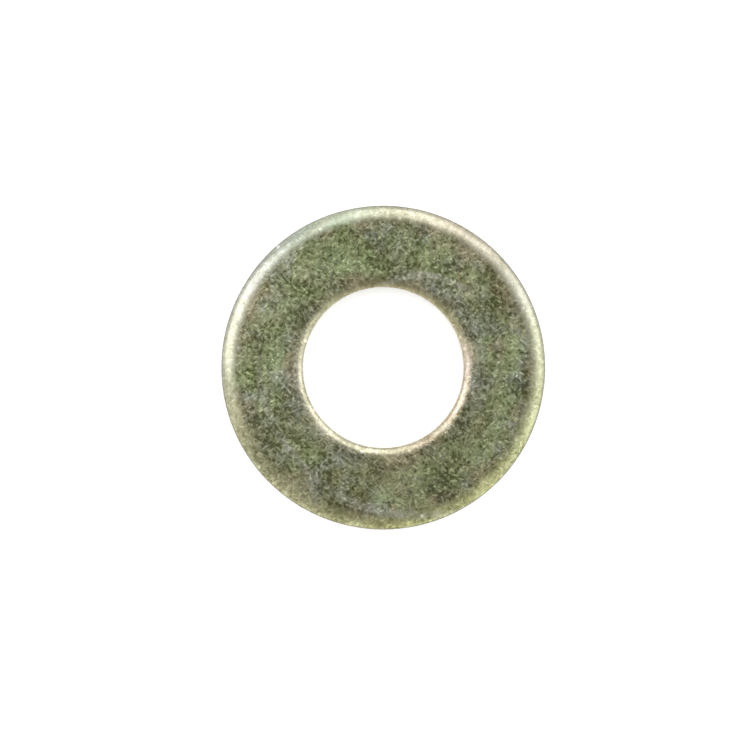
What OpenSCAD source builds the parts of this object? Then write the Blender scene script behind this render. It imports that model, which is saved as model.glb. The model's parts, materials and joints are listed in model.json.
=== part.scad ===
// Flat washer, stamped from steel strip in one stroke of a compound die.
// Both cut edges are rolled over on the upper face. Below each roll stands a smooth sheared land,
// and below that the break, where the metal tore, leans slightly away from the wall.
// The origin is on the bolt hole's axis at the lower bearing face, and +Z leaves the rolled face.

/* [Washer] */
// Diameter of the bolt hole at its sheared land
bore_d = 13.36; // [12:0.01:15]
// Outside diameter at the sheared land
outer_d = 26.97; // [25:0.01:30]
// Thickness between the two bearing faces
thickness = 2.41; // [1.7:0.01:4]

/* [Rolled edges] */
// Radial width of the roll at the outside
outer_roll_w = 1.5; // [0.5:0.05:1.9]
// Depth of the roll at the outside
outer_roll_h = 0.5; // [0.15:0.05:0.6]
// Radial width of the roll at the bolt hole
bore_roll_w = 1.0; // [0.4:0.05:1.7]
// Depth of the roll at the bolt hole
bore_roll_h = 0.35; // [0.15:0.05:0.6]

/* [Cut walls] */
// Height of the outer sheared land, as a share of the thickness
outer_land_share = 0.45; // [0.3:0.01:0.55]
// Height of the bolt hole's sheared land, as a share of the thickness
bore_land_share = 0.5; // [0.3:0.01:0.55]
// How far the torn part of each wall leans back by the lower face
break_lean = 0.08; // [0:0.01:0.15]
// Size of the tumbled edge break at the lower face
edge_break = 0.08; // [0.02:0.01:0.1]

/* [Hidden] */
// Straight steps in each roll, and sides of the round shapes
roll_steps = 12;
round_sides = 240;
bore_r = bore_d / 2;
outer_r = outer_d / 2;
outer_land_bottom = thickness - outer_roll_h - outer_land_share * thickness;
bore_land_bottom = thickness - bore_roll_h - bore_land_share * thickness;

// Quarter ellipse from the upper face down to a wall of radius r. The metal lies inside an outer
// wall, where side is 1, and outside the wall of a hole, where side is -1.
function roll(r, w, h, side) = [
    for (i = [0:roll_steps])
        let (a = 90 * i / roll_steps)
        [r - side * w * (1 - sin(a)), thickness - h * (1 - cos(a))]
];

function reversed(points) = [for (i = [len(points) - 1:-1:0]) points[i]];

// Half section of the washer, anticlockwise from the lower face at the bolt hole
function section() = concat(
    [
        [bore_r + break_lean + edge_break, 0],
        [outer_r - break_lean - edge_break, 0],
        [outer_r - break_lean, edge_break],
        [outer_r, outer_land_bottom]
    ],
    reversed(roll(outer_r, outer_roll_w, outer_roll_h, 1)),
    roll(bore_r, bore_roll_w, bore_roll_h, -1),
    [
        [bore_r, bore_land_bottom],
        [bore_r + break_lean, edge_break]
    ]
);

// The whole washer: one stamped blank, with its plating
module washer() {
    color("#8c8d62")
        rotate_extrude($fn = round_sides)
            polygon(section());
}

washer();
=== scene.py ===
"""A stamped flat washer in yellow-chromated zinc plate, on a pale studio floor."""

import json
import math

import bmesh
import bpy
from bpy.props import FloatProperty, FloatVectorProperty, IntProperty, PointerProperty
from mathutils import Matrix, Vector


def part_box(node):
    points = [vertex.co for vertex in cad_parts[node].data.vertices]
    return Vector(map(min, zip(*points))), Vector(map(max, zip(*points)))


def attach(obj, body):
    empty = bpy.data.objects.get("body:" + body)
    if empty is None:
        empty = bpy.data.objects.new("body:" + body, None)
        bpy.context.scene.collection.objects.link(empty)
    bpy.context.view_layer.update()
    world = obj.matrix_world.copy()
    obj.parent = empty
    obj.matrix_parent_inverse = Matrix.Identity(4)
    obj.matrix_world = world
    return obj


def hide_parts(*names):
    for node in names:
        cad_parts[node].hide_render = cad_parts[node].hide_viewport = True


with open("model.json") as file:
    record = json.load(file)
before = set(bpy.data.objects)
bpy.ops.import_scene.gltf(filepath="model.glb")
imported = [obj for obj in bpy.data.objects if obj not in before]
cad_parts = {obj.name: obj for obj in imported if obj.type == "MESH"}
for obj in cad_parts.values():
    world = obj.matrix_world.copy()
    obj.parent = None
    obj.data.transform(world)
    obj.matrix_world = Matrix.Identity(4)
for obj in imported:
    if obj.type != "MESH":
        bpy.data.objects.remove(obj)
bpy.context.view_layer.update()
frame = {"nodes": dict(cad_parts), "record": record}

bl_info = {
    "name": "Flat Washer",
    "version": (1, 0, 0),
    "blender": (4, 5, 0),
    "location": "View3D > Sidebar > Washer",
    "description": "Models a stamped flat washer with rolled edges and a yellow chromate finish",
    "category": "Add Mesh",
}

MM = 0.001
SAME = 2e-6  # metres: two measures of the frame this close are one


# ---------------------------------------------------------------- sizes taken from the frame

CAD_POINTS = [vert.co.copy() for vert in frame["nodes"]["washer"].data.vertices]
LOW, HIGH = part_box("washer")
BOLT_HOLE = next(m for m in frame["record"]["mounts"] if m["name"] == "bolt_hole")
BORE_R = BOLT_HOLE["dims"]["r_mm"] * MM
OUTER_R = HIGH.x


def ring_at(height):
    """Smallest and largest radius of the CAD washer's points at one height."""
    radii = [p.xy.length for p in CAD_POINTS if abs(p.z - height) < SAME]
    return min(radii), max(radii)


def wall_at(radius):
    """Lowest and highest of the CAD washer's points at one radius."""
    heights = [p.z for p in CAD_POINTS if abs(p.xy.length - radius) < SAME]
    return min(heights), max(heights)


FACE_IN, FACE_OUT = ring_at(HIGH.z)
OUTER_FOOT, OUTER_TOP = wall_at(OUTER_R)
BORE_FOOT, BORE_TOP = wall_at(BORE_R)
EDGE_BREAK = min(p.z for p in CAD_POINTS if p.z > LOW.z + SAME) - LOW.z
LEAN = OUTER_R - ring_at(LOW.z + EDGE_BREAK)[1]


# ---------------------------------------------------------------- settings

def linear(value):
    """An sRGB hex colour as linear red, green and blue."""
    channels = [(value >> shift & 255) / 255 for shift in (16, 8, 0)]
    return tuple(c / 12.92 if c <= 0.04045 else ((c + 0.055) / 1.055) ** 2.4 for c in channels)


def length(name, description, default):
    """A property that holds a length in metres."""
    return FloatProperty(
        name=name, description=description, default=default, min=0.0, precision=6,
        unit="LENGTH", subtype="DISTANCE",
    )


def colour(name, description, value):
    """A property that holds a colour, given as sRGB hex."""
    return FloatVectorProperty(
        name=name, description=description, default=linear(value), min=0.0, max=1.0,
        size=3, subtype="COLOR",
    )


def share(name, description, default):
    """A property that holds a number from 0 to 1."""
    return FloatProperty(
        name=name, description=description, default=default, min=0.0, max=1.0, subtype="FACTOR",
    )


class WasherShape(bpy.types.PropertyGroup):
    """Sizes of the stamped blank"""

    bore_r: length("Bore radius", "Radius of the bolt hole at its land", BORE_R)
    outer_r: length("Outer radius", "Radius of the outside at its land", OUTER_R)
    thickness: length("Thickness", "Distance between the bearing faces", HIGH.z - LOW.z)
    face_in: length("Face inner radius", "Where the bore's roll begins", FACE_IN)
    face_out: length("Face outer radius", "Where the outer roll begins", FACE_OUT)
    outer_top: length("Outer land top", "Height where the outer roll ends", OUTER_TOP)
    outer_foot: length("Outer land foot", "Height where the outer wall tore", OUTER_FOOT)
    bore_top: length("Bore land top", "Height where the bore's roll ends", BORE_TOP)
    bore_foot: length("Bore land foot", "Height where the bore's wall tore", BORE_FOOT)
    lean: length("Lean", "How far the torn walls lean back", LEAN)
    edge_break: length("Edge break", "Rounding of the lower edges", EDGE_BREAK)
    longest_edge: length("Longest edge", "Longest edge in the section", 0.16 * MM)
    steps: IntProperty(
        name="Steps round", description="Faces round the washer", default=480, min=48, max=720,
    )
    waviness: length("Waviness", "Depth of the slow hollows in the surface", 0.02 * MM)
    ding_depth: length("Ding depth", "Depth of the dents from tumbling", 0.02 * MM)
    grain_depth: length("Grain depth", "Depth of the grain on the torn walls", 0.04 * MM)


class WasherFinish(bpy.types.PropertyGroup):
    """Colours and gloss of the chromate film, with painted shade and painted reflection among the
    colours
    """

    grey: colour("Grey film", "Film where it is thinnest", 0x9EA390)
    olive: colour("Olive film", "The film's commonest colour", 0x949676)
    # Also laid over the face towards -Y as painted shade
    dark: colour("Dark film", "Film where it is thickest", 0x84845E)
    green: colour("Green film", "Film in patches all over the face", 0x8C976B)
    brown: colour("Brown film", "Film in blotches near the edges of the face", 0x8E8669)
    thin: colour("Thin film", "Film along one side of the bore, where it stayed thin", 0x8F9384)
    rub: colour("Rub mark", "Where a neighbouring washer rubbed", 0xB2B29C)
    # Painted shade: the dark outer cut wall draws the dark outline at the washer's edge
    outer_cut_shade: colour("Outer cut wall", "Film on the wall at the outside", 0x6C6860)
    # Painted reflection: the pale bore cut wall stands in for the floor seen in it
    bore_cut_reflection: colour("Bore cut wall", "Film on the wall of the bolt hole", 0xBDB59C)
    torn: colour("Torn wall", "Film where the metal tore", 0x6F6A55)
    face_roughness: share("Face roughness", "Roughness of the plated face", 0.27)
    torn_roughness: share("Torn roughness", "Roughness of the torn walls", 0.5)


class WasherStage(bpy.types.PropertyGroup):
    """Floor, lights and camera"""

    floor: colour("Floor", "Colour of the light table", 0xF4F4F4)
    glow: FloatProperty(
        name="Glow", description="How bright the light table is by itself", default=0.45, min=0.0,
    )
    lens: FloatProperty(
        name="Lens", description="Focal length of the camera", default=135.0, min=35.0,
        unit="CAMERA",
    )
    distance: length("Camera distance", "From the floor to the camera", 0.2359)
    aside: length("Camera aside", "How far the camera stands left of the bolt hole", 0.69 * MM)
    below: length("Camera below", "How far the camera stands in front of the bolt hole", 0.62 * MM)


# ---------------------------------------------------------------- modelling, as by hand

def select_points(piece, wanted):
    """In edit mode, selects the points that pass a test."""
    bpy.ops.mesh.select_mode(type="VERT")
    bpy.ops.mesh.select_all(action="DESELECT")
    mesh = bmesh.from_edit_mesh(piece.data)
    for vert in mesh.verts:
        vert.select = wanted(vert.co)
    mesh.select_flush_mode()
    bmesh.update_edit_mesh(piece.data)


def select_edges(piece, wanted):
    """In edit mode, selects the edges whose ends pass a test."""
    bpy.ops.mesh.select_mode(type="EDGE")
    bpy.ops.mesh.select_all(action="DESELECT")
    mesh = bmesh.from_edit_mesh(piece.data)
    for edge in mesh.edges:
        edge.select = wanted(*(vert.co for vert in edge.verts))
    bmesh.update_edit_mesh(piece.data)


def near(point):
    """A test for places at a point."""
    return lambda p: (p - Vector(point)).length < SAME


def roll_corner(piece, corner, width, depth, steps):
    """Rounds a corner of the section to a quarter ellipse: the section is stretched until the
    ellipse is a circle, bevelled, and pressed back."""
    stretch = width / depth
    bpy.ops.mesh.select_all(action="SELECT")
    bpy.ops.transform.resize(value=(1, 1, stretch), center_override=corner)
    select_points(piece, near(corner))
    bpy.ops.mesh.bevel(
        offset_type="ABSOLUTE", offset=width, segments=steps, profile=0.5, affect="VERTICES",
    )
    bpy.ops.mesh.select_all(action="SELECT")
    bpy.ops.transform.resize(value=(1, 1, 1 / stretch), center_override=corner)


def tear_wall(piece, radius, top, foot, lean, edge_break):
    """Splits a straight wall at the foot of its land, leans the lower part back and rounds the
    lower edge."""
    select_edges(piece, lambda a, b: max(abs(a.x - radius), abs(b.x - radius)) < SAME)
    bpy.ops.mesh.subdivide(number_cuts=1)
    select_points(piece, near((radius, 0, top / 2)))
    bpy.ops.transform.translate(value=(0, 0, foot - top / 2))
    select_points(piece, near((radius, 0, 0)))
    bpy.ops.transform.translate(value=(lean, 0, 0))
    bpy.ops.mesh.bevel(
        offset_type="ABSOLUTE", offset=edge_break, segments=3, profile=0.5, affect="VERTICES",
    )


def divide_edges(piece, longest):
    """Cuts every edge of the outline into equal parts no longer than this."""
    mesh = bmesh.from_edit_mesh(piece.data)
    parts = {math.ceil(edge.calc_length() / longest) for edge in mesh.edges}
    for count in sorted(parts - {1}):
        select_edges(piece, lambda a, b: math.ceil((a - b).length / longest) == count)
        bpy.ops.mesh.subdivide(number_cuts=count - 1)


def model_blank(shape):
    """Draws half a section of the blank as an upright outline and spins it round the bolt
    hole's axis."""
    out, hole, top = shape.outer_r, shape.bore_r, shape.thickness
    bpy.ops.object.select_all(action="DESELECT")
    bpy.ops.mesh.primitive_plane_add(size=1.0, rotation=(math.radians(90), 0, 0))
    bpy.ops.object.transform_apply(location=True, rotation=True, scale=True)
    piece = bpy.context.object
    piece.name = piece.data.name = "flat_washer"
    bpy.ops.object.mode_set(mode="EDIT")
    bpy.ops.mesh.select_all(action="SELECT")
    bpy.ops.transform.resize(value=(out - hole, 1, top))
    bpy.ops.transform.translate(value=((out + hole) / 2, 0, top / 2))
    roll_corner(piece, (out, 0, top), out - shape.face_out, top - shape.outer_top, 18)
    roll_corner(piece, (hole, 0, top), shape.face_in - hole, top - shape.bore_top, 16)
    tear_wall(piece, out, shape.outer_top, shape.outer_foot, -shape.lean, shape.edge_break)
    tear_wall(piece, hole, shape.bore_top, shape.bore_foot, shape.lean, shape.edge_break)
    bpy.ops.mesh.select_all(action="SELECT")
    bpy.ops.mesh.delete(type="ONLY_FACE")
    divide_edges(piece, shape.longest_edge)
    bpy.ops.mesh.select_all(action="SELECT")
    bpy.ops.mesh.spin(steps=shape.steps, angle=math.tau, center=(0, 0, 0), axis=(0, 0, 1))
    bpy.ops.mesh.select_all(action="SELECT")
    bpy.ops.mesh.remove_doubles(threshold=SAME)
    bpy.ops.mesh.normals_make_consistent(inside=False)
    bpy.ops.object.mode_set(mode="OBJECT")
    bpy.ops.object.shade_smooth()
    return piece


def press_in(piece, name, depth, group=""):
    """Presses a texture into the surface: white leaves it where it is, black is the full depth."""
    modifier = piece.modifiers.new(name, "DISPLACE")
    modifier.texture = bpy.data.textures[name]
    modifier.texture_coords = "LOCAL"
    modifier.mid_level = 1.0
    modifier.strength = depth
    modifier.vertex_group = group
    bpy.ops.object.modifier_apply(modifier=modifier.name)


def wear_blank(piece, shape):
    """Gives the blank the unevenness of a stamped and tumbled part."""
    waves = bpy.data.textures.new("slow_hollows", "CLOUDS")
    waves.noise_scale = 5.0 * MM
    waves.noise_depth = 2
    press_in(piece, waves.name, shape.waviness)

    dings = bpy.data.textures.new("dings", "VORONOI")
    dings.noise_scale = 1.7 * MM
    dings.use_color_ramp = True
    dings.color_ramp.interpolation = "EASE"
    dings.color_ramp.elements[0].color = (0, 0, 0, 1)
    dings.color_ramp.elements[1].position = 0.17
    dings.color_ramp.elements[1].color = (1, 1, 1, 1)
    press_in(piece, dings.name, shape.ding_depth)

    feet = ((shape.outer_r, shape.outer_foot), (shape.bore_r, shape.bore_foot))
    reach = shape.lean + shape.edge_break
    torn = [
        vert.index for vert in piece.data.vertices
        if any(abs(vert.co.xy.length - r) < reach and vert.co.z < foot for r, foot in feet)
    ]
    piece.vertex_groups.new(name="torn").add(torn, 1.0, "REPLACE")
    grain = bpy.data.textures.new("torn_grain", "CLOUDS")
    grain.noise_scale = 0.35 * MM
    grain.noise_depth = 1
    press_in(piece, grain.name, shape.grain_depth, "torn")
    piece.vertex_groups.clear()


# ---------------------------------------------------------------- material

# A Mix node has a set of sockets for each kind of value
FACTOR, NUMBER_A, NUMBER_B, COLOUR_A, COLOUR_B, MIXED_COLOUR = 0, 2, 3, 6, 7, 2


def tints(*stops):
    """Stops of a colour ramp, from positions and sRGB hex colours."""
    return [(position, linear(value)) for position, value in stops]


def greys(*stops):
    """Stops of a colour ramp that holds plain numbers, from positions and those numbers."""
    return [(position, (number, number, number)) for position, number in stops]


def add(tree, kind, inputs=(), out=0, stops=None, **settings):
    """Adds a shader node with its settings, sets or links its inputs, given in order or by
    name, fills its colour ramp, and returns one of its outputs."""
    node = tree.nodes.new("ShaderNode" + kind)
    for name, value in settings.items():
        setattr(node, name, value)
    for key, value in inputs.items() if isinstance(inputs, dict) else enumerate(inputs):
        if isinstance(value, bpy.types.NodeSocket):
            tree.links.new(value, node.inputs[key])
        else:
            node.inputs[key].default_value = value
    if stops:
        elements = node.color_ramp.elements
        while len(elements) < len(stops):
            elements.new(1.0)
        for element, (position, rgb) in zip(elements, stops):
            element.position = position
            element.color = (*rgb, 1.0)
    return node.outputs[out] if node.outputs else None


def needle_marks(tree, place, normal, cell, long, wide, seed):
    """Short straight marks that lie in the surface at random angles, one to a cell of this many
    millimetres and each as strong as chance makes it, on a ground of 0."""
    moved = add(tree, "VectorMath", (place, (seed, 2 * seed, 3 * seed)))
    centre = add(tree, "TexVoronoi", {"Vector": moved, "Scale": 1 / cell}, "Position")
    chance = centre.node.outputs["Color"]
    offset = add(tree, "VectorMath", (moved, centre), operation="SUBTRACT")
    heading = add(tree, "VectorMath", (chance, (0.5, 0.5, 0.5)), operation="SUBTRACT")
    across = add(tree, "VectorMath", (heading, normal), operation="CROSS_PRODUCT")
    across = add(tree, "VectorMath", (across,), operation="NORMALIZE")
    along = add(tree, "VectorMath", (normal, across), operation="CROSS_PRODUCT")
    sides = []
    for axis, size in ((along, long), (across, wide)):
        part = add(tree, "VectorMath", (offset, axis), "Value", operation="DOT_PRODUCT")
        sides.append(add(tree, "Math", (part, 2 / size), operation="MULTIPLY"))
    both = add(tree, "CombineXYZ", sides)
    far = add(tree, "VectorMath", (both,), "Value", operation="LENGTH")
    mark = add(tree, "MapRange", (far, 0.4, 1.0, 1.0, 0.0), interpolation_type="SMOOTHSTEP")
    luck = add(tree, "SeparateColor", (chance,))
    return add(tree, "Math", (mark, luck), operation="MULTIPLY")


def rub_ring(tree, place, centre, radius, width):
    """A ring of this radius and width in millimetres, fading towards both sides."""
    offset = add(tree, "VectorMath", (place, centre), operation="SUBTRACT")
    flat = add(tree, "VectorMath", (offset, (1, 1, 0)), operation="MULTIPLY")
    far = add(tree, "VectorMath", (flat,), "Value", operation="LENGTH")
    off = add(tree, "Math", (far, radius), operation="SUBTRACT")
    off = add(tree, "Math", (off,), operation="ABSOLUTE")
    return add(
        tree, "MapRange", (off, 0.1 * width, 0.7 * width, 1.0, 0.0),
        interpolation_type="SMOOTHSTEP",
    )


def chromated_steel(finish, shape):
    """Low carbon steel with about 8 micrometres of zinc, dipped in yellow chromate. The steel
    was tumbled before plating, so the face is covered with short fine marks, and the film's
    thickness drifts, which gives it patches from grey to green over a metallic ground."""
    material = bpy.data.materials.new("yellow_chromated_zinc")
    material.use_nodes = True
    tree = material.node_tree
    tree.nodes.clear()
    face_in, face_out = shape.face_in / MM, shape.face_out / MM
    bore_r, outer_r, top = shape.bore_r / MM, shape.outer_r / MM, shape.thickness / MM
    foot = (shape.outer_foot + shape.bore_foot) / 2 / MM
    smooth = {"interpolation_type": "SMOOTHSTEP"}
    times = {"operation": "MULTIPLY"}
    larger = {"operation": "MAXIMUM"}

    metres = add(tree, "TexCoord", out="Object")
    place = add(tree, "VectorMath", {0: metres, "Scale": 1 / MM}, operation="SCALE")
    normal = add(tree, "NewGeometry", out="Normal")
    plan = add(tree, "VectorMath", (place, (1, 1, 0)), **times)
    radius = add(tree, "VectorMath", (plan,), "Value", operation="LENGTH")
    height = add(tree, "SeparateXYZ", (place,), "Z")
    turn = add(tree, "TexGradient", (place,), "Fac", gradient_type="RADIAL")

    # Where things are: the two rolls, the cut walls and the torn part of those walls
    above = add(tree, "MapRange", (height, 0.6 * top, 0.75 * top), **smooth)
    outer_roll = add(tree, "MapRange", (radius, face_out - 0.2, outer_r - 0.9), **smooth)
    outer_roll = add(tree, "Math", (outer_roll, above), **times)
    bore_roll = add(tree, "MapRange", (radius, bore_r + 0.3, face_in, 1.0, 0.0), **smooth)
    bore_roll = add(tree, "Math", (bore_roll, above), **times)
    outer_wall = add(tree, "MapRange", (radius, outer_r - 0.15, outer_r - 0.06), **smooth)
    bore_wall = add(tree, "MapRange", (radius, bore_r + 0.03, bore_r + 0.13, 1.0, 0.0), **smooth)
    wall = add(tree, "Math", (outer_wall, bore_wall), **larger)
    ragged = add(tree, "TexNoise", {
        "Vector": place, "Scale": 1 / 1.2, "Detail": 4.0, "Roughness": 0.65,
    })
    ragged = add(tree, "MapRange", (ragged, 0.0, 1.0, -0.5, 0.5))
    ragged = add(tree, "Math", (height, ragged))
    torn = add(tree, "MapRange", (ragged, foot - 0.05, foot + 0.03, 1.0, 0.0), **smooth)
    torn = add(tree, "Math", (torn, wall), **times)
    land = add(tree, "Math", (wall, torn), operation="SUBTRACT")

    # Film: drifts of grey, olive and dark 1 to 2 mm across
    drift = add(tree, "TexNoise", {
        "Vector": place, "Scale": 1 / 2.0, "Detail": 5.0, "Roughness": 0.62,
    })
    film = add(tree, "ValToRGB", (drift,), stops=(
        (0.36, finish.grey), (0.50, finish.olive), (0.66, finish.dark),
    ))

    # Each coat over that is a mask and a colour, and the later lie on the earlier. Green patches
    # are up to 5 mm across. They keep off both edges of the face and are richest towards +Y
    middle, half = (face_in + face_out) / 2, (face_out - face_in) / 2
    aside = add(tree, "Math", (radius, middle), operation="SUBTRACT")
    aside = add(tree, "Math", (aside,), operation="ABSOLUTE")
    margin = add(tree, "MapRange", (aside, half * 0.4, half * 1.15, 0.0, 0.13), **smooth)
    greener = add(tree, "TexNoise", {
        "Vector": place, "Scale": 1 / 4.5, "Detail": 4.0, "Roughness": 0.7,
    })
    greener = add(tree, "Math", (greener, margin), operation="SUBTRACT")
    richer = add(tree, "ValToRGB", (turn,), stops=greys(
        (0.00, 0.3), (0.06, 0.0), (0.20, 0.0), (0.30, 0.3), (0.45, 0.3), (0.56, 0.1),
        (0.66, 0.1), (0.74, 1.0), (0.90, 0.9), (1.00, 0.3),
    ))
    greener = add(tree, "Math", (richer, 0.1, greener), operation="MULTIPLY_ADD")
    greener = add(tree, "MapRange", (greener, 0.42, 0.64, 0.0, 0.9), **smooth)
    coats = [(greener, (*finish.green, 1))]

    # The film is thin beside the bore towards +X, and the face is painted darker towards -Y as
    # shade, where less light falls
    thin_zone = greys(
        (0.00, 0.20), (0.28, 0.10), (0.40, 0.25), (0.47, 0.55), (0.68, 0.50), (0.75, 0.0),
        (0.90, 0.05), (1.00, 0.20),
    )
    painted_shade_zone = greys(
        (0.00, 0.00), (0.16, 0.00), (0.24, 0.55), (0.38, 0.45), (0.48, 0.20), (0.58, 0.0),
    )
    for shade, stops, full, gone in (
        (finish.thin, thin_zone, face_in + 0.3, face_in + 1.5),
        # Painted shade: the dark film over the face towards -Y stands in for shade there
        (finish.dark, painted_shade_zone, face_in + 1.8, face_out - 1.0),
    ):
        zone = add(tree, "ValToRGB", (turn,), stops=stops)
        inside = add(tree, "MapRange", (radius, full, gone, 1.0, 0.0), **smooth)
        zone = add(tree, "Math", (zone, inside), **times)
        coats.append((zone, (*shade, 1)))

    # Brown blotches gather towards both edges of the face
    blotch = add(tree, "TexNoise", {
        "Vector": place, "Scale": 1 / 2.8, "Detail": 4.0, "Roughness": 0.6,
    })
    blotch = add(tree, "Math", (blotch, margin))
    blotch = add(tree, "MapRange", (blotch, 0.52, 0.74, 0.0, 0.75), **smooth)
    coats.append((blotch, (*finish.brown, 1)))

    # Rolls: the film runs through the colours of thin oil, in bands many millimetres long. These
    # colours are partly painted highlight, pale and washed out on the outer part of the rolls, and
    # the bore's roll is painted darker towards +Y as shade
    tint_strength = 0.85
    tinted_and_highlit = add(tree, "MapRange", (radius, face_out - 0.05, outer_r - 0.7), **smooth)
    tinted_and_highlit = add(tree, "Math", (tinted_and_highlit, above), **times)
    # Painted highlight: these pale colours stand in for the washed-out highlight on the outer roll
    # as well as the film's thin-oil colours
    outer_tint_and_highlight = tints(
        (0.00, 0xB2B29D), (0.06, 0xAAA885), (0.18, 0xAAA880), (0.28, 0xA6A572),
        (0.36, 0xADAF7C), (0.46, 0xB0B38E), (0.58, 0xB2B2A2), (0.67, 0xB2AA98),
        (0.74, 0xB1B09A), (0.81, 0xA6B29F), (0.90, 0xADADA5), (0.98, 0xB2B29D),
    )
    # Painted shade: the dark stop at 0.75, towards +Y, is where the bore's roll gets little light
    bore_tint_highlight_and_shade = tints(
        (0.00, 0xB6B29D), (0.25, 0xB5B199), (0.33, 0xB4A890), (0.50, 0xB6A89A),
        (0.60, 0xB0AB84), (0.75, 0x8C8262), (0.87, 0xADAB8A), (1.00, 0xB6B29D),
    )
    for roll, stops in ((tinted_and_highlit, outer_tint_and_highlight), (bore_roll, bore_tint_highlight_and_shade)):
        tint = add(tree, "ValToRGB", (turn,), stops=stops)
        amount = add(tree, "Math", (roll, tint_strength), **times)
        coats.append((amount, tint))

    # Rub marks: the rims of a washer much like this one, which lay on it off to one side
    rub = add(
        tree, "Math",
        [rub_ring(tree, place, (3.1, 1.2, 0), ring, width)
         for ring, width in ((outer_r + 0.05, 0.75), (bore_r - 0.23, 0.65))],
        **larger,
    )
    patchy = add(tree, "TexNoise", {
        "Vector": place, "Scale": 1 / 2.8, "Detail": 2.0, "Roughness": 0.5,
    })
    patchy = add(tree, "MapRange", (patchy, 0.35, 0.58, 0.35, 0.9), **smooth)
    pressed = add(tree, "ValToRGB", (turn,), stops=greys(
        (0.00, 0.6), (0.06, 1.0), (0.28, 1.0), (0.42, 0.3), (0.58, 0.3), (0.66, 1.0),
        (0.76, 1.0), (0.90, 0.2),
    ))
    for limit in (patchy, pressed, above):
        rub = add(tree, "Math", (rub, limit), **times)
    coats.append((rub, (*finish.rub, 1)))

    # Cut walls: the outer wall is painted dark as shade, which draws the dark outline round the
    # edge, the bore wall is painted pale as a reflection of the pale floor, and the places where
    # the metal tore have their own darker colour
    for cut, shade, most in (
        (outer_wall, finish.outer_cut_shade, 0.75), (bore_wall, finish.bore_cut_reflection, 0.5),
        (torn, finish.torn, 0.7),
    ):
        amount = add(tree, "Math", (cut, most), **times)
        coats.append((amount, (*shade, 1)))
    for amount, shade in coats:
        sockets = {FACTOR: amount, COLOUR_A: film, COLOUR_B: shade}
        film = add(tree, "Mix", sockets, MIXED_COLOUR, data_type="RGBA")

    # Tumbling marks: mottling of 0.2 to 3 mm and grain of about 0.3 mm, under bright and dark
    # needle marks 0.5 to 1 mm long
    mottle = add(tree, "TexNoise", {
        "Vector": place, "Scale": 1 / 3.2, "Detail": 4.0, "Roughness": 0.85,
    })
    texture = add(tree, "MapRange", (mottle, 0.25, 0.75, -1.0, 1.0))
    grain = add(tree, "TexNoise", {
        "Vector": place, "Scale": 1 / 0.36, "Detail": 2.0, "Roughness": 0.6,
    })
    grain = add(tree, "MapRange", (grain, 0.30, 0.70, -0.32, 0.36), **smooth)
    texture = add(tree, "Math", (texture, grain))
    for cell, long, wide, seed, strength in (
        (0.46, 0.65, 0.19, 3.1, 0.70), (0.48, 0.62, 0.18, 17.3, 0.70),
        (0.65, 0.95, 0.18, 29.9, 0.80), (0.45, 0.52, 0.20, 41.7, -0.50),
        (0.48, 0.57, 0.21, 57.1, -0.50),
    ):
        marks = needle_marks(tree, place, normal, cell, long, wide, seed)
        texture = add(tree, "Math", (marks, strength, texture), operation="MULTIPLY_ADD")

    # The rolls, the rubbed places and the walls keep only a share of the marks
    # Painted highlight: the outer roll keeps fewest marks where its highlight is brightest, as if
    # the highlight washed them out, and most towards -Y, where it is dim
    marks_kept_by_light = add(tree, "ValToRGB", (turn,), stops=greys(
        (0.00, 0.30), (0.08, 0.55), (0.16, 0.60), (0.38, 0.60), (0.48, 0.30), (0.60, 0.25),
        (0.75, 0.30), (0.90, 0.25),
    ))
    for smoother, kept in (
        (outer_roll, marks_kept_by_light), (bore_roll, 0.4), (rub, 0.6), (wall, 0.3),
    ):
        kept = add(tree, "MapRange", (smoother, 0.0, 1.0, 1.0, kept), **smooth)
        texture = add(tree, "Math", (texture, kept), **times)

    # Walls: die lines about 0.1 mm apart up the sheared lands, and grain where the metal tore
    per_mm = (7.0, 7.0, 0.5)
    upright = add(tree, "VectorMath", (place, per_mm), **times)
    lines = add(tree, "TexNoise", {"Vector": upright, "Scale": 1.0, "Detail": 2.0})
    lines = add(tree, "MapRange", (lines, 0.3, 0.7, -0.3, 0.3), **smooth)
    for pattern, where in ((lines, land), (grain, torn)):
        texture = add(tree, "Math", (pattern, where, texture), operation="MULTIPLY_ADD")

    # Dings: a few bright specks about 0.3 mm across
    speck = add(
        tree, "TexVoronoi", {"Vector": place, "Scale": 1 / 3.2}, "Distance",
        voronoi_dimensions="2D",
    )
    speck = add(tree, "MapRange", (speck, 0.03, 0.06, 0.6, 0.0), **smooth)
    texture = add(tree, "Math", (speck, above, texture), operation="MULTIPLY_ADD")

    # Bare metal is whiter than the film, so blue changes more than red and green
    change, even, darkest = (1.0, 1.0, 1.2), (1, 1, 1), (0.42, 0.42, 0.34)
    tone = add(tree, "VectorMath", (texture, change, even), operation="MULTIPLY_ADD")
    tone = add(tree, "VectorMath", (tone, darkest), **larger)
    toned = add(tree, "VectorMath", (film, tone), **times)

    gloss, spread = finish.face_roughness, 0.04
    rough = add(tree, "MapRange", (drift, 0.3, 0.7, gloss - spread, gloss + spread))
    rough = add(tree, "Mix", {FACTOR: torn, NUMBER_A: rough, NUMBER_B: finish.torn_roughness})
    mark_depth = 4e-6  # metres
    relief = add(tree, "MapRange", (outer_roll, 0.0, 1.0, 1.0, 0.3))
    bump = add(tree, "Bump", {"Height": texture, "Strength": relief, "Distance": mark_depth})
    shader = add(tree, "BsdfPrincipled", {
        "Base Color": toned, "Metallic": 1.0, "Roughness": rough, "Normal": bump,
    })
    add(tree, "OutputMaterial", (shader,))
    return material


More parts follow.
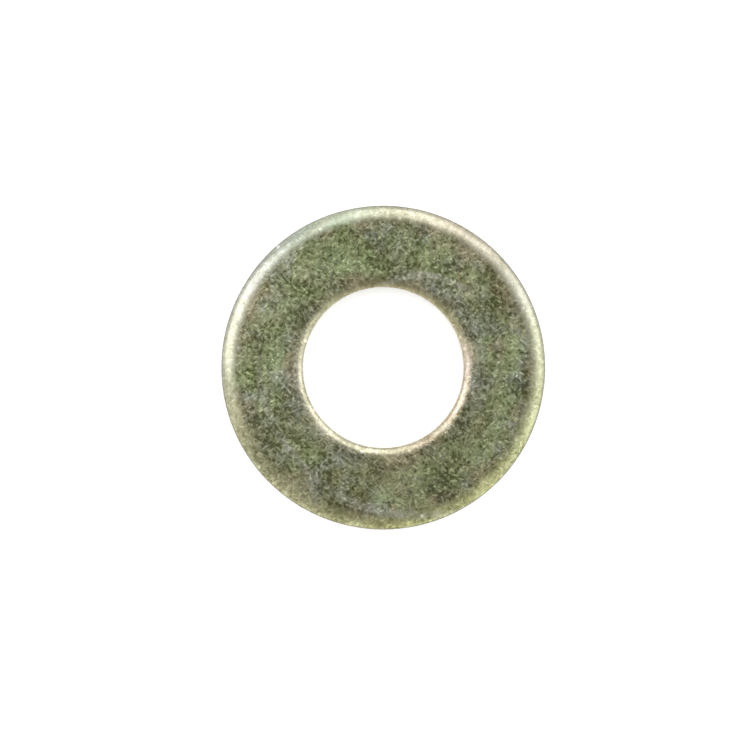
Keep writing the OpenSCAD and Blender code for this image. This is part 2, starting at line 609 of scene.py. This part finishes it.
class MESH_OT_flat_washer(bpy.types.Operator):
    """Model the stamped washer and give it its plating"""

    bl_idname = "mesh.flat_washer"
    bl_label = "Flat Washer"

    def execute(self, context):
        shape, finish = context.scene.washer_shape, context.scene.washer_finish
        piece = model_blank(shape)
        wear_blank(piece, shape)
        piece.data.materials.append(chromated_steel(finish, shape))
        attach(piece, "root")
        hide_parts("washer")
        return {"FINISHED"}


# ---------------------------------------------------------------- stage

def softbox(name, azimuth, off_zenith, width, height, radiance):
    """An area light half a metre from the washer, turned to face it."""
    reach = 0.5
    a, t = math.radians(azimuth), math.radians(off_zenith)
    place = Vector((math.cos(a) * math.sin(t), math.sin(a) * math.sin(t), math.cos(t))) * reach
    bpy.ops.object.light_add(type="AREA", location=place)
    light = bpy.context.object
    light.name = light.data.name = name
    light.rotation_euler = place.to_track_quat("Z", "Y").to_euler()
    light.data.shape = "RECTANGLE"
    light.data.size = width
    light.data.size_y = height
    light.data.energy = radiance * math.pi * width * height


class SCENE_OT_washer_stage(bpy.types.Operator):
    """Set the washer on a pale floor under soft studio lights, with a camera above it"""

    bl_idname = "scene.washer_stage"
    bl_label = "Studio"

    def execute(self, context):
        scene = context.scene
        stage = scene.washer_stage
        scene.view_settings.view_transform = "Standard"

        bpy.ops.object.select_all(action="DESELECT")
        bpy.ops.mesh.primitive_plane_add(size=3.0, location=(0, 0, LOW.z))
        floor = bpy.context.object
        floor.name = floor.data.name = "floor"
        bpy.ops.object.transform_apply(location=True, rotation=True, scale=True)
        acrylic = bpy.data.materials.new("opal_acrylic_light_table")
        acrylic.use_nodes = True
        tree = acrylic.node_tree
        tree.nodes.clear()
        shader = add(tree, "BsdfPrincipled", {
            "Base Color": (*stage.floor, 1), "Roughness": 0.8,
            "Emission Color": (*stage.floor, 1), "Emission Strength": stage.glow,
        })
        add(tree, "OutputMaterial", (shader,))
        floor.data.materials.append(acrylic)

        # Azimuth and angle off the zenith in degrees, width and height in metres, and radiance
        for lamp in (
            ("key_spill", 165, 28, 0.30, 0.42, 0.27),
            ("key_softbox", 160, 36, 0.26, 0.28, 1.2),
            ("key_centre", 150, 31, 0.18, 0.24, 1.0),
            ("back_softbox", 84, 36, 0.26, 0.29, 1.75),
            ("right_softbox", 30, 42, 0.30, 0.27, 1.25),
            ("right_fill", -12, 46, 0.32, 0.32, 0.8),
            ("right_spill", -5, 25, 0.36, 0.28, 0.22),
        ):
            softbox(*lamp)

        # A pale tent, which is brightest at the horizon and darkest overhead
        world = bpy.data.worlds.new("studio")
        world.use_nodes = True
        scene.world = world
        tree = world.node_tree
        tree.nodes.clear()
        up = add(tree, "SeparateXYZ", (add(tree, "TexCoord", out="Generated"),), "Z")
        sky = add(tree, "ValToRGB", (up,), stops=greys(
            (0.0, 1.15), (0.25, 1.15), (0.56, 1.08), (0.80, 0.72), (0.91, 0.52), (0.96, 0.43),
            (0.99, 0.37),
        ))
        light = add(tree, "Background", (sky, 1.0))
        add(tree, "OutputWorld", (light,))

        bpy.ops.object.camera_add(
            location=(-stage.aside, -stage.below, LOW.z + stage.distance), rotation=(0, 0, 0),
        )
        camera = bpy.context.object
        camera.data.lens = stage.lens
        camera.data.clip_start = 0.01
        scene.camera = camera
        return {"FINISHED"}


class VIEW3D_PT_washer(bpy.types.Panel):
    """The washer's settings and operators"""

    bl_label = "Flat Washer"
    bl_space_type = "VIEW_3D"
    bl_region_type = "UI"
    bl_category = "Washer"

    def draw(self, context):
        layout = self.layout
        for group in ("washer_shape", "washer_finish", "washer_stage"):
            settings = getattr(context.scene, group)
            box = layout.box()
            for name in settings.bl_rna.properties.keys():
                if name not in ("rna_type", "name"):
                    box.prop(settings, name)
        layout.operator("mesh.flat_washer")
        layout.operator("scene.washer_stage")


CLASSES = (
    WasherShape, WasherFinish, WasherStage, MESH_OT_flat_washer, SCENE_OT_washer_stage,
    VIEW3D_PT_washer,
)


def register():
    for cls in CLASSES:
        bpy.utils.register_class(cls)
    bpy.types.Scene.washer_shape = PointerProperty(type=WasherShape)
    bpy.types.Scene.washer_finish = PointerProperty(type=WasherFinish)
    bpy.types.Scene.washer_stage = PointerProperty(type=WasherStage)


def unregister():
    del bpy.types.Scene.washer_stage
    del bpy.types.Scene.washer_finish
    del bpy.types.Scene.washer_shape
    for cls in reversed(CLASSES):
        bpy.utils.unregister_class(cls)


def main():
    register()
    bpy.ops.mesh.flat_washer()
    bpy.ops.scene.washer_stage()


if __name__ == "__main__":
    main()
